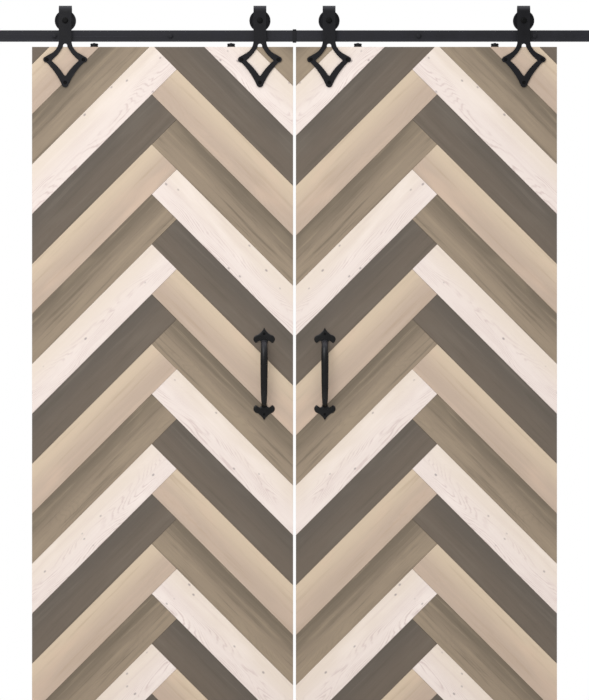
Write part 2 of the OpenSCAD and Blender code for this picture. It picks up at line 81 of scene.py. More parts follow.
# What the pieces are worked out from, in metres: boxes of the frame's nodes at rest.
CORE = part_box("left_core")
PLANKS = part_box("left_planks_tan")
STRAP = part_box("left_strap_outer")
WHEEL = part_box("wheel_1")
DOOR_X, DOOR_TOP = CORE[0].x, CORE[1].z
DOOR_W, DOOR_H = CORE[1].x - CORE[0].x, CORE[1].z - CORE[0].z
DOOR_FRONT, PLANK_BACK = PLANKS[0].y, PLANKS[1].y
AXLE_Z = (WHEEL[0].z + WHEEL[1].z) / 2
RAIL_Y = (WHEEL[0].y + WHEEL[1].y) / 2
FLOOR_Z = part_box("floor_guides")[0].z

FRONT, BACK, UP = (0, -1, 0), (0, 1, 0), (0, 0, 1)
ROUND = 48  # points round a small turned piece
SAME_SPOT = 2e-6  # points closer than this are merged
COPLANAR = math.radians(0.5)  # faces that meet less steeply are joined
SHARP = math.radians(32)  # faces that meet more steeply are shaded apart
EASED = math.radians(40)  # edges steeper than this are rounded

STAINS = ("tan", "brown", "white", "dark")  # of the boards, in turn
LOWEST_BOARD = -4  # the number of the first board, rising or falling
# How far the zigzag's corner lies past the lower side of board 0, in boards.
RISING_START, FALLING_START = 3.25, 0.75
RISING_STACK, FALLING_STACK, STACK = 5, 40, 100  # where the boards' figures are picked from
LEAF, PLY = 0.152, 2 * MM  # a backing panel's leaf of veneer across, and a ply's thickness

FLOOR_X, FLOOR_Y = (-5, 5), (-6, 1.9)  # what the floor takes in
FLOOR_PALE, FLOOR_DARK = (0.84, 0.835, 0.825), (0.78, 0.775, 0.765)
LAMP_PLACE, LAMP_SIZE = (-1.8, -4.5, 1.6), (4.0, 3.0)
SKY_LOW, SKY_HIGH = 0.78, 1.33  # the sky's strength at eye level and overhead


def linear(code):
    """The linear colour of a paint chart's hexadecimal code."""
    part = np.array([int(code[i : i + 2], 16) / 255 for i in (1, 3, 5)])
    return tuple(np.where(part > 0.04045, ((part + 0.055) / 1.055) ** 2.4, part / 12.92))


def colour(name, description, code):
    """A colour that the user can change."""
    return FloatVectorProperty(
        name=name, description=description, subtype="COLOR", default=linear(code), min=0, max=1
    )


def length(name, description, metres):
    """A length that the user can change."""
    return FloatProperty(name=name, description=description, default=metres, unit="LENGTH")


# ------------------------------------------------------------------ sizes and colours


class BARN_PG_planks(PropertyGroup):
    """How the herringbone is laid out."""

    width: length("Width", "Width of a plank", 0.1237)
    joint: length("Joint", "Gap between two planks", 0.0006)
    edge: length("Eased edge", "Radius of the edge round a plank's face", 0.0006)
    zigzag_x: length("Zigzag", "From a door's outer edge to the zigzag's middle", 0.4632)
    zigzag_drop: length("Drop", "From a door's top to the zigzag's first inner corner", 0.1663)
    boards: IntProperty(
        name="Boards", description="Which boards were picked from the stack", default=3
    )


class BARN_PG_hangers(PropertyGroup):
    """The bent straps with their diamonds."""

    width: length("Width", "Width of a strap", 0.045)
    thickness: length("Thickness", "Thickness of a strap", 0.005)
    nub: length("Nub", "Radius of the round ends at the diamond's sides", 0.010)
    tip: length("Tip", "Radius of the round end under the diamond", 0.012)
    nub_drop: length("Nub drop", "From a door's top to the middle of the nubs", 0.0445)
    edge: length("Edge", "Radius of a strap's edges", 0.0012)


class BARN_PG_pulls(PropertyGroup):
    """The forged pull handles."""

    plate: length("Plate", "Thickness of the plates", 0.004)
    plate_length: length("Plate length", "From a plate's tip to the grip's foot", 0.052)
    grip: length("Grip", "Half width of the grip at its thickest", 0.0125)
    flare: length("Flare", "Swelling of the grip where it grows out of a plate", 0.003)


class BARN_PG_colours(PropertyGroup):
    """The finishes. Each wood has a colour at a plank's upper edge and at its lower edge."""

    tan_upper: colour("Tan, upper", "Sand wash at a plank's upper edge", "#cfbca4")
    tan_lower: colour("Tan, lower", "Sand wash at a plank's lower edge", "#bda998")
    brown_upper: colour("Brown, upper", "Grey-brown stain at the upper edge", "#746859")
    brown_lower: colour("Brown, lower", "Grey-brown stain at the lower edge", "#968673")
    white_upper: colour("White, upper", "Limewash at the upper edge", "#e4d6c8")
    white_lower: colour("White, lower", "Limewash at the lower edge", "#e9dcd5")
    dark_upper: colour("Dark, upper", "Weathered stain at the upper edge", "#605850")
    dark_lower: colour("Dark, lower", "Weathered stain at the lower edge", "#6b6055")
    back: colour("Back", "Oiled veneer of the backing panel", "#b3946c")
    rail: colour("Rail", "Powder coat of the rail", "#19191f")
    iron: colour("Hangers", "Black coat of the hangers", "#0c0c11")
    pull: colour("Pulls", "Black coat of the pulls", "#080809")


class BARN_PG_stage(PropertyGroup):
    """Floor, light and camera."""

    sky: FloatProperty(name="Sky", description="Strength of the light all round", default=0.8)
    lamp: FloatProperty(
        name="Lamp", description="Power of the large soft lamp", default=110.0, unit="POWER"
    )
    distance: length("Distance", "From the camera to the doors", 16.0)
    view_height: length("View height", "Height that the picture takes in", 2.452)
    view_z: length("View level", "Height of the picture's middle", -1.1008)


# ------------------------------------------------------------------ points


def clip(outline, normal, limit):
    """The part of a convex outline whose points' product with normal is under limit."""
    after = np.roll(outline, -1, axis=0)
    here, there = outline @ normal - limit, after @ normal - limit
    share = here / np.where(here == there, 1, here - there)
    crossing = outline + share[:, None] * (after - outline)
    keep = np.stack([here <= 0, here * there < 0], axis=1).ravel()
    return np.stack([outline, crossing], axis=1).reshape(-1, 2)[keep]


def inset(outline, distance):
    """A convex outline moved in: each corner goes along its bisector, so all sides move alike."""
    side = np.roll(outline, -1, axis=0) - outline
    normal = np.stack([-side[:, 1], side[:, 0]], axis=1) / np.linalg.norm(side, axis=1)[:, None]
    middle = outline.mean(axis=0)
    normal *= np.sign(((middle - outline) * normal).sum(axis=1))[:, None]
    before = np.roll(normal, 1, axis=0)
    return outline + distance * (normal + before) / (1 + (normal * before).sum(axis=1))[:, None]


def arc(p, q, r, steps=24):
    """Points on a circle of radius r from p to q, its centre on the left of that way."""
    p, q = np.asarray(p, float), np.asarray(q, float)
    way = q - p
    reach = np.linalg.norm(way)
    left = np.array([-way[1], way[0]]) / reach
    centre = (p + q) / 2 + math.sqrt(r * r - reach * reach / 4) * left
    a, b = (math.atan2(*(s - centre)[::-1]) for s in (p, q))
    angle = a + ((b - a + 3 * math.pi) % TAU - math.pi) * np.linspace(0, 1, steps + 1)
    return centre + r * np.stack([np.cos(angle), np.sin(angle)], axis=1)


def around(centre, r, start, end, steps=24):
    """Points on a circle about centre, from one angle in degrees to another."""
    angle = np.radians(np.linspace(start, end, steps + 1))
    return np.asarray(centre) + r * np.stack([np.cos(angle), np.sin(angle)], axis=1)


def spaced(path, count):
    """A path's points again, count of them, evenly spaced along it."""
    path = np.asarray(path, float)
    gone = np.concatenate([[0], np.cumsum(np.linalg.norm(np.diff(path, axis=0), axis=1))])
    at = np.linspace(0, gone[-1], count)
    return np.stack([np.interp(at, gone, path[:, k]) for k in range(path.shape[1])], axis=1)


def rounded(profile, radius, steps=3):
    """A closed profile whose corners are replaced by curves: c + (1-t)^2 a + t^2 b."""
    c = np.asarray(profile, float)
    t = np.linspace(0, 1, steps + 1)[None, :, None]
    a, b = np.roll(c, 1, axis=0) - c, np.roll(c, -1, axis=0) - c
    a, b = (s / np.linalg.norm(s, axis=1)[:, None] * radius for s in (a, b))
    return (c[:, None] + (1 - t) ** 2 * a[:, None] + t**2 * b[:, None]).reshape(-1, 2)


def hexagon(angle):
    """The radius of a hexagon of corner radius 1 in each direction: cos 30 / cos(off the flat)."""
    return math.cos(math.pi / 6) / np.cos(angle % (math.pi / 3) - math.pi / 6)


def grid_faces(rows, columns, close_rows=False, close_columns=False):
    """Quads of a grid of points; a closed direction joins its last line to its first."""
    i = np.arange(rows if close_rows else rows - 1)[:, None]
    j = np.arange(columns if close_columns else columns - 1)[None, :]
    down, right = (i + 1) % rows, (j + 1) % columns
    corners = (i * columns + j, i * columns + right, down * columns + right, down * columns + j)
    return np.stack(np.broadcast_arrays(*corners), axis=-1).reshape(-1, 4)


def turned(radius, height, base, outward, closed=False, count=ROUND):
    """Lathe work: base + height * outward + radius * (cos, sin) of the angle about outward.

    Radius and height each have a row per ring, and a column per angle where they change with it.
    """
    radius, height = (np.asarray(v, float) for v in (radius, height))
    radius, height = (v if v.ndim == 2 else v[:, None] for v in (radius, height))
    radius, height = (np.broadcast_to(v, (len(v), count))[..., None] for v in (radius, height))
    angle = (np.arange(count) * TAU / count)[None, :, None]
    outward = np.asarray(outward, float)
    east = np.cross([0.0, 1.0, 0.0] if abs(outward[2]) > 0.5 else [0.0, 0.0, 1.0], outward)
    north = np.cross(outward, east)
    points = np.asarray(base, float) + height * outward
    points = points + radius * (np.cos(angle) * east + np.sin(angle) * north)
    return points.reshape(-1, 3), grid_faces(len(radius), count, closed, True)


def joined(shells):
    """Several (points, faces) pairs as one pair."""
    sizes = np.cumsum([0] + [len(p) for p, _ in shells])
    faces = [face for (_, f), start in zip(shells, sizes) for face in (f + start).tolist()]
    return np.concatenate([p for p, _ in shells]), faces


def solids_of(node):
    """The boxes of a node's separate solids: points that share a triangle share a label."""
    mesh = frame["nodes"][node].data
    points = np.empty(len(mesh.vertices) * 3, np.float32)
    mesh.vertices.foreach_get("co", points)
    corners = np.empty(len(mesh.polygons) * 3, np.int32)
    mesh.polygons.foreach_get("vertices", corners)
    spots = np.round(points.reshape(-1, 3).astype(float), 6)
    spots, joint = np.unique(spots, axis=0, return_inverse=True)
    triangles = joint.ravel()[corners].reshape(-1, 3)
    label, before = np.arange(len(spots)), None
    while before is None or (label != before).any():
        before = label.copy()
        np.minimum.at(label, triangles, label[triangles].min(axis=1)[:, None])
        label = label[label]
    groups = [spots[label == one] for one in np.unique(label)]
    return [(group.min(axis=0), group.max(axis=0)) for group in groups]


# ------------------------------------------------------------------ pieces


def make_piece(name, body, slot, points, faces, grain=None):
    """A piece from points and faces: doubles merged, normals outwards, riding on its body."""
    mesh = bpy.data.meshes.new(name)
    mesh.from_pydata(np.asarray(points).tolist(), [], [list(face) for face in faces])
    if grain is not None:
        layer = mesh.attributes.new("grain", "FLOAT_VECTOR", "POINT")
        layer.data.foreach_set("vector", np.asarray(grain, np.float32).ravel())
    tidy_mesh(mesh)
    piece = bpy.data.objects.new(name, mesh)
    return finish_piece(piece, body, slot)


def tidy_mesh(mesh, flatten=False):
    """Merges doubles and turns the faces outwards; flatten joins faces that lie in one plane."""
    work = bmesh.new()
    work.from_mesh(mesh)
    bmesh.ops.remove_doubles(work, verts=work.verts, dist=SAME_SPOT)
    if flatten:
        everything = {"verts": work.verts, "edges": work.edges}
        bmesh.ops.dissolve_limit(work, angle_limit=COPLANAR, **everything)
    bmesh.ops.recalc_face_normals(work, faces=work.faces)
    work.to_mesh(mesh)
    work.free()


def finish_piece(piece, body, slot):
    """Links a piece, shades it smooth between its sharp edges and gives it its finish."""
    bpy.context.scene.collection.objects.link(piece)
    piece.data.materials.clear()
    piece.data.materials.append(finish(slot))
    piece.data.polygons.foreach_set("use_smooth", [True] * len(piece.data.polygons))
    piece.data.set_sharp_from_angle(angle=SHARP)
    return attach(piece, body)


def add_edges(piece, width, segments=2):
    """Rounds a piece's sharp edges."""
    edge = piece.modifiers.new("Rounded edges", "BEVEL")
    edge.width, edge.segments = width, segments
    edge.limit_method, edge.angle_limit = "ANGLE", EASED
    edge.harden_normals = True


def stand_in(node, slot, shells):
    """One turned piece made of shells, which stands for a node and rides where it does."""
    body = frame["nodes"][node]["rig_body"]
    piece = make_piece(node + "_turned", body, slot, *joined(shells))
    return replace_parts(piece, node)


def edged_copy(node, slot, width, segments=2):
    """A merged copy of a CAD node with rounded edges, which stands for the node."""
    mesh = frame["nodes"][node].data.copy()
    mesh.name = node + "_edged"
    tidy_mesh(mesh, flatten=True)
    piece = bpy.data.objects.new(mesh.name, mesh)
    finish_piece(piece, frame["nodes"][node]["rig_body"], slot)
    add_edges(piece, width, segments)
    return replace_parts(piece, node)


def refinish(node, slot):
    """Keeps a CAD node and gives it a finish."""
    piece = frame["nodes"][node]
    piece.data.materials.clear()
    piece.data.materials.append(finish(slot))


def screws(node, slot, outward, shank, rise):
    """Domed screws with a hexagon socket in place of a node's, each as its box says.

    The head's height over its underside is rise * (1 - (r / head)^2.4), out to a rounded rim.
    The socket's corners are at half the head's radius, its floor at a quarter of the rise.
    """
    axis = int(np.argmax(np.abs(outward)))
    sign = outward[axis]
    shells = []
    for low, high in solids_of(node):
        middle, size = (low + high) / 2, high - low
        head = size[(axis + 1) % 3] / 2
        base = middle.copy()
        base[axis] = (high if sign > 0 else low)[axis] - sign * rise
        corner, floor, rim = 0.5 * head, 0.25 * rise, 0.05 * rise
        across = np.linspace(1.15 * corner, head, 9)
        dome = rise * (1 - (across / head) ** 2.4)
        six = corner * hexagon(np.arange(ROUND) * TAU / ROUND)
        radius = [0 * six, 0.98 * six, six, six]
        height = [floor, floor, floor + rim, dome[0] - 0.1 * rise]
        radius += [np.full(ROUND, r) for r in (*across, 0.97 * head, shank, shank, 0.3 * shank, 0)]
        end = rise - size[axis]
        height += [*dome[:-1], rim, 0, 0, end + shank, end, end]
        shells.append(turned(np.array(radius), np.array(height), base, outward))
    return stand_in(node, slot, shells)


def rings(node, slot, outward, bore, edge):
    """Turned rings in place of a node's washers or spacers: a rounded rectangle about an axis."""
    axis = int(np.argmax(np.abs(outward)))
    shells = []
    for low, high in solids_of(node):
        middle, half = (low + high) / 2, (high - low) / 2
        r, h = half[(axis + 1) % 3], half[axis]
        profile = rounded([(bore, -h), (r, -h), (r, h), (bore, h)], edge)
        shells.append(turned(*profile.T, middle, outward, closed=True))
    return stand_in(node, slot, shells)


# ------------------------------------------------------------------ the doors


def plank_outlines(sizes, rising):
    """(number, outline, low diagonal) of each plank whose grain rises, or falls, from the edge.

    Outlines are in u, in from the door's outer side, and v, down from its top. Rising planks lie
    between two values of u + v, falling ones between two values of v - u, and each ends where
    it meets the side of a plank of the other kind.
    """
    pitch, half = sizes.width * math.sqrt(2), sizes.joint / math.sqrt(2)
    total = sizes.zigzag_x + sizes.zigzag_drop - RISING_START * pitch
    difference = sizes.zigzag_drop - sizes.zigzag_x - FALLING_START * pitch
    run_out = (2 * DOOR_H - total - difference) / (2 * pitch)
    plus, minus = np.array([1.0, 1.0]), np.array([-1.0, 1.0])
    if rising:
        first, last = math.floor(-total / pitch), math.ceil(run_out + 1)
        across, along, low, meets = plus, minus, total, difference - 2 * pitch
    else:
        first, last = math.floor((-DOOR_W - difference) / pitch), math.ceil(run_out - 1.5)
        across, along, low, meets = minus, plus, difference, total + 3 * pitch
    door = np.array([(0, 0), (DOOR_W, 0), (DOOR_W, DOOR_H), (0, DOOR_H)], float)
    for i in range(first, last):
        outline = clip(door, across, low + pitch * (i + 1) - half)
        outline = clip(outline, -across, -(low + pitch * i + half))
        outline = clip(outline, -along, -(meets + pitch * i + half))
        yield i, outline, low + pitch * i


def add_plank(sizes, side, rising, number, outline, low):
    """A board with eased edges: its outline at the back, then rings that turn over to the face.

    Its grain attribute holds the distance along the board, the distance across it, which goes on
    down its sides, and a number that picks the board.
    """
    turn = np.radians([0, 30, 60, 90])
    moved = [0, *(sizes.edge * (1 - np.cos(turn)))]
    depth = [PLANK_BACK - DOOR_FRONT, *(sizes.edge * (1 - np.sin(turn)))]
    loops = np.stack([inset(outline, m) for m in moved])
    u, v = loops[..., 0], loops[..., 1]
    depth = np.broadcast_to(np.array(depth)[:, None], u.shape)
    points = np.stack([SIDES[side] * (DOOR_X + u), DOOR_FRONT + depth, DOOR_TOP - v], axis=-1)
    along, across = (v - u, u + v) if rising else (u + v, v - u)
    stack = (RISING_STACK if rising else FALLING_STACK) + STACK * sizes.boards
    board = np.full_like(u, number + stack)
    grain = np.stack([along / math.sqrt(2), (across - low) / math.sqrt(2) + depth, board], axis=-1)
    rows, count = u.shape
    faces = grid_faces(rows, count, close_columns=True).tolist()
    faces += [list(range(count)), list(range((rows - 1) * count, rows * count))]
    kind, place = "rising" if rising else "falling", number - LOWEST_BOARD
    stain = STAINS[place % len(STAINS)]
    name, body, slot = f"{side}_{kind}_{place:02d}", side + "_door", "plank_" + stain
    piece = make_piece(name, body, slot, points.reshape(-1, 3), faces, grain.reshape(-1, 3))
    wide = [abs(face.normal.y) > 0.999 for face in piece.data.polygons]
    piece.data.polygons.foreach_set("use_smooth", [not w for w in wide])
    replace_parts(piece, f"{side}_planks_{stain}")


def strap_pattern(sizes):
    """The right half of a strap, laid flat: rows of points from its middle or window outwards.

    X is measured from the strap's middle. The height goes on past the bend, as if unrolled.
    Each stretch of the outer edge is paired with a stretch of the middle or of the window. The
    edge runs from the cap of the back leg over the shoulder, the side, the arm, the nub and the
    blade to the tip; the window has an eye at its top and an upper and a lower side.
    """
    half = sizes.width / 2
    side_r, blade_r, upper_r, lower_r, eye_r = np.array([50, 260, 140, 210, 7.5]) * MM
    bend_r = (STRAP[1].y - STRAP[0].y) / 2
    bend_z = STRAP[1].z - bend_r
    nub = np.array([(STRAP[1].x - STRAP[0].x) / 2 - sizes.nub, DOOR_TOP - sizes.nub_drop])
    tip = np.array([0, STRAP[0].z + sizes.tip])
    end_z = bend_z + math.pi * bend_r + bend_z - AXLE_Z
    shoulder = np.array([half, DOOR_TOP + 21 * MM])
    arm = np.array([half + 22.5 * MM, DOOR_TOP - 20.5 * MM])
    side = arc(shoulder, arm, side_r, 18)
    blade = arc(nub - [1 * MM, 9.5 * MM], tip + [12 * MM, -2 * MM], blade_r)
    corner = nub - [20.5 * MM, 1.5 * MM]
    top = np.array([0, DOOR_TOP + 11 * MM])
    eye = around(top - [0, eye_r], eye_r, 90, -12, 10)
    upper = arc(eye[-1], corner, upper_r)
    lower = arc(corner + [0.5 * MM, -3.5 * MM], (3 * MM, nub[1] - 55.5 * MM), lower_r)
    cap = around((0, end_z), half, 90, 0, 14)
    pairs = (
        (cap, cap * [0, 1], 15),
        ([(half, end_z), shoulder], [(0, end_z), (0, shoulder[1])], 68),
        (side[:6], [(0, shoulder[1]), top], 6),
        (side[5:], eye, 14),
        (np.vstack([arm, around(nub, sizes.nub, 57, -20)]), upper, 30),
        (
            np.vstack([around(nub, sizes.nub, -20, -96), blade, around(tip, sizes.tip, -9, -90)]),
            np.vstack([corner, lower, (0, nub[1] - 57 * MM)]),
            60,
        ),
    )
    outer = np.vstack([spaced(o, count) for o, _, count in pairs])
    inner = np.vstack([spaced(i, count) for _, i, count in pairs])
    share = np.linspace(0, 1, 9)[None, :, None]
    return (1 - share) * inner[:, None] + share * outer[:, None], bend_r, bend_z


def add_strap(sizes, side, place):
    """A strap: its flat pattern, wrapped half way round the bend, thickened inwards and eased.

    Up to the bend Y is the front's. Over the bend the angle is the height past it / the radius.
    Past half a turn the sheet comes straight down behind the wheel.
    """
    pattern, bend_r, bend_z = strap_pattern(sizes)
    x, height = pattern[..., 0], pattern[..., 1]
    angle = np.clip((height - bend_z) / bend_r, 0, math.pi)
    down = np.maximum(height - bend_z - math.pi * bend_r, 0)
    y = RAIL_Y - bend_r * np.cos(angle)
    z = np.minimum(height, bend_z) + bend_r * np.sin(angle) - down
    low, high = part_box(f"{side}_strap_{place}")
    middle = (low.x + high.x) / 2
    halves = [np.stack([middle + way * x, y, z], axis=-1).reshape(-1, 3) for way in (1, -1)]
    faces = grid_faces(*x.shape)
    points, faces = joined([(halves[0], faces), (halves[1], faces[:, ::-1])])
    name = f"{side}_strap_{place}_bent"
    piece = make_piece(name, side + "_door", "hardware_paint", points, faces)
    front = max(piece.data.polygons, key=lambda face: abs(face.normal.y) * face.area)
    if (front.normal.y > 0) == (front.center.y < RAIL_Y):
        piece.data.flip_normals()
    wall = piece.modifiers.new("Thickness", "SOLIDIFY")
    wall.thickness, wall.offset, wall.use_even_offset = sizes.thickness, -1, True
    add_edges(piece, sizes.edge, 3)
    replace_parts(piece, f"{side}_strap_{place}")


def spade():
    """The right half of a plate of a pull, its tip at the origin: its edge and its middle line.

    Each stretch of the edge is paired with a stretch of the middle line from which it is seen:
    the hollow side of the tip, the round hook, the notch, and the foot under the grip.
    """
    stretches = (  # in millimetres
        (arc((0, 0), (24, -25), 60), (0, -24), 18),
        (around((22.5, -40), 15, 84, -64), (-24, -32), 26),
        (around((19.5, -54.4), 9.8, 5, 148), (-32, -42), 18),
        (around((0, -52), 10, 14, -90), (-42, -62), 14),
    )
    edge = np.vstack([spaced(path, count) for path, _, count in stretches])
    spine = np.concatenate([np.linspace(*ends, count) for _, ends, count in stretches])
    return edge * MM, np.stack([0 * spine, spine], axis=1) * MM


def pull_plate(sizes, middle, tip, way):
    """A forged plate: it swells gently towards its middle line and falls away at its rim.

    The parameter s runs from the plate's middle line to its edge, and the back is flat.
    """
    edge, spine = spade()
    s = np.array([0, 0.25, 0.5, 0.7, 0.84, 0.93, 0.98, 1, 1, 0.6, 0])
    swell = np.array([1, 0.985, 0.94, 0.88, 0.82, 0.7, 0.5, 0.25, 0, 0, 0])
    flat = (1 - s)[None, :, None] * spine[:, None] + s[None, :, None] * edge[:, None]
    shells = []
    for hand in (1, -1):
        x, z = middle + hand * flat[..., 0], tip + way * flat[..., 1]
        y = np.broadcast_to(DOOR_FRONT - swell * sizes.plate, x.shape)
        shells.append((np.stack([x, y, z], axis=-1).reshape(-1, 3), grid_faces(*x.shape)))
    return joined(shells)


def pull_grip(sizes, middle, low, high):
    """A squared half loop: depth goes with sin(a)^0.62 and height with cos(a)^0.62.

    The half width is the grip's * (0.66 + 0.34 sin a), a little more above than below, and it
    swells by the flare where the loop grows out of a plate. The grip's depth is 0.8 of its width.
    """
    power, waist, oval, count = 0.62, 0.66, 0.8, 140
    root = DOOR_FRONT - 2 * MM  # inside the plate
    top_heavy, flare_length = 1.1 * MM, 5 * MM
    a = np.linspace(0, math.pi, 121)
    reach = root - (low.y + oval * sizes.grip)
    level_z, half = (high.z + low.z) / 2, (high.z - low.z) / 2 - sizes.plate_length
    out, rise = (np.sign(v) * np.abs(v) ** power for v in (np.sin(a), np.cos(a)))
    centre = [np.full_like(a, middle), root - reach * out, level_z + half * rise]
    centre = spaced(np.stack(centre, axis=1), count)
    depth, up = (root - centre[:, 1]) / reach, (centre[:, 2] - level_z) / half
    width = sizes.grip * (waist + (1 - waist) * depth ** (1 / power)) + top_heavy * up
    width += sizes.flare * np.exp(-depth * reach / flare_length)
    way = np.gradient(centre, axis=0)
    across = np.stack([np.zeros(count), way[:, 2], -way[:, 1]], axis=1)
    across /= np.linalg.norm(way, axis=1)[:, None]
    turn = (np.arange(ROUND) * TAU / ROUND)[None, :, None]
    ring = np.cos(turn) * np.array([1.0, 0, 0]) + oval * np.sin(turn) * across[:, None]
    points = centre[:, None] + width[:, None, None] * ring
    ends = centre[[0, -1], None].repeat(ROUND, axis=1)
    points = np.concatenate([ends[:1], points, ends[1:]])
    return points.reshape(-1, 3), grid_faces(len(points), ROUND, close_columns=True)


# ------------------------------------------------------------------ bolts and nuts


def hex_crown(corner, top, inner):
    """Rows of a hexagon's chamfered end, from the radius inner out to its corners.

    The radius is the lesser of a growing circle and the hexagon. Beyond the flats' 0.95 the
    surface falls along a cone of 30 degrees.
    """
    six = corner * hexagon(np.arange(ROUND) * TAU / ROUND)
    start = 0.95 * six.min()
    circle = np.array([inner, (inner + start) / 2, start, *np.linspace(start, corner, 7)[1:]])
    radius = np.minimum(circle[:, None], six[None])
    return radius, top - np.maximum(radius - start, 0) * math.tan(math.radians(30))


def level(pairs):
    """Rows of equal radii and heights, from a (radius, height) for each."""
    radius, height = np.array(pairs, float).T
    return np.repeat(radius[:, None], ROUND, axis=1), np.repeat(height[:, None], ROUND, axis=1)


def stacked(*parts):
    """Parts of a turned profile, one after the other."""
    return np.vstack([r for r, _ in parts]), np.vstack([h for _, h in parts])


def lag_thread(shank, start, end):
    """Rows of a thread from one depth to another, which ends in a point.

    The radius is shank - depth * |2 frac(height / pitch - angle / 360) - 1|, times the taper.
    """
    pitch, depth, point, rows_per_turn = 3.2 * MM, 0.9 * MM, 9 * MM, 8
    run = np.linspace(start, end, int((end - start) / pitch * rows_per_turn))[:, None]
    wave = np.abs(2 * ((run / pitch - np.arange(ROUND)[None] / ROUND) % 1) - 1)
    grown = np.clip((run - start) / pitch, 0, 1)
    taper = np.clip((end - run) / point, 0.03, 1)
    return (shank - grown * depth * wave) * taper, np.broadcast_to(-run, wave.shape)


def add_bolts(node, slot, thick, shank, lag=False):
    """Hexagon bolts along Y in place of a node's, heads towards -Y.

    A lag's thread starts at Y 0, the wall's face.
    """
    shells = []
    for low, high in solids_of(node):
        corner, under = (high[0] - low[0]) / 2, high[1] - low[1] - thick
        base = [(low[0] + high[0]) / 2, low[1] + thick, (low[2] + high[2]) / 2]
        crown = hex_crown(corner, thick, 0)
        foot = (crown[0][-1:], np.zeros((1, ROUND)))
        if lag:
            neck = level([(0.95 * shank, 0), (0.95 * shank, base[1])])
            ends = (neck, lag_thread(shank, -base[1], under), level([(0, -under)]))
        else:
            rows = [(shank, 0), (shank, 0.3 * shank - under), (0.7 * shank, -under), (0, -under)]
            ends = (level(rows),)
        shells.append(turned(*stacked(crown, foot, *ends), base, FRONT))
    return stand_in(node, slot, shells)


def add_nuts(node, slot, bore):
    """Hexagon nuts around Y in place of a node's, both ends chamfered alike."""
    shells = []
    for low, high in solids_of(node):
        middle, half = (low + high) / 2, (high - low) / 2
        radius, height = hex_crown(half[0], half[1], bore)
        rows = stacked((radius, height), (radius[::-1], -height[::-1]))
        shells.append(turned(*rows, middle, FRONT, closed=True))
    return stand_in(node, slot, shells)


# ------------------------------------------------------------------ wheels, discs, bumpers


def mirrored(rows):
    """A profile's rows turned over, for its lower side."""
    return [(radius, -height) for radius, height in reversed(rows)]


def add_wheel(number):
    """A grooved wheel turned round its axle: a dished side, round flanges and a flat run."""
    node = f"wheel_{number}"
    low, high = (np.array(corner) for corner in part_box(node))
    r, half = (high - low)[:2] / 2
    run = AXLE_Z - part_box("rail_left")[1].z - 0.3 * MM
    bore, seat, lip, dish = 13 * MM, 4 * MM, 11 * MM, 1.2 * MM
    shoulder, groove, mouth, softness, steps = r - 6 * MM, 4 * MM, 6 * MM, 1.3 * MM, 5
    side = [(lip, half - 1 * MM), (lip + 1.5 * MM, half), (lip + 4 * MM, half)]
    side += [(lip + 5.5 * MM, half - dish), (shoulder - 1.5 * MM, half - dish), (shoulder, half)]
    flange = [(shoulder, half), (r, half), (r, mouth), (run, groove)]
    corners = rounded(flange, softness, steps)[steps + 1 : 3 * (steps + 1)]  # the flange's two
    upper = [*side, *map(tuple, corners), (run, groove)]
    profile = [*upper, *mirrored(upper[1:]), (bore, 1 * MM - half), (bore, seat), (lip, seat)]
    shell = turned(*np.array(profile).T, (low + high) / 2, BACK, closed=True, count=128)
    stand_in(node, "wheel_paint", [shell])


def add_discs(side):
    """Low round discs on a door's top, with a waist, a rounded rim and a shallow dish."""
    node, bore, waist = f"{side}_jump_discs", 2.6 * MM, 0.9 * MM
    shells = []
    for low, high in solids_of(node):
        r, h = (high[0] - low[0]) / 2, high[2] - low[2]
        profile = [(bore, 0), (r - 1 * MM, 0), (r, 0.8 * MM), (r - waist, 0.42 * h)]
        profile += [(r - waist, 0.55 * h), (r, 0.72 * h), (r - 0.3 * MM, 0.88 * h)]
        profile += [(r - 1.6 * MM, h), (0.62 * r, h), (0.5 * r, 0.9 * h), (bore, 0.9 * h)]
        base = [(low[0] + high[0]) / 2, (low[1] + high[1]) / 2, low[2]]
        shells.append(turned(*np.array(profile).T, base, UP, closed=True, count=96))
    stand_in(node, "hardware_paint", shells)


def add_bumpers():
    """Rubber bumpers: a peg in the block, then a ribbed body whose face is a shallow dome."""
    body, peg, crown, rib = 12 * MM, 3.9 * MM, 2.5 * MM, 1 * MM
    shells = []
    for (low, high), way in zip(solids_of("stop_bumpers"), (1, -1)):
        r, size = (high[2] - low[2]) / 2, high[0] - low[0]
        face = np.linspace(0, math.pi / 2, 9)
        rows = [(r * math.sin(a), size - crown * (1 - math.cos(a))) for a in face]
        ribs = [(r, 0.72), (r - rib, 0.6), (r - rib, 0.4), (r, 0.28), (r, 0.08), (r - 0.8 * MM, 0)]
        rows += [(radius, share * body + size - body) for radius, share in ribs]
        rows += [(peg, size - body), (peg, 0.4 * MM), (peg - 0.4 * MM, 0), (0, 0)]
        start = low[0] if way > 0 else high[0]
        base = [start, (low[1] + high[1]) / 2, (low[2] + high[2]) / 2]
        shells.append(turned(*np.array(rows).T, base, (way, 0, 0)))
    stand_in("stop_bumpers", "bumper_rubber", shells)


# ------------------------------------------------------------------ shader helpers


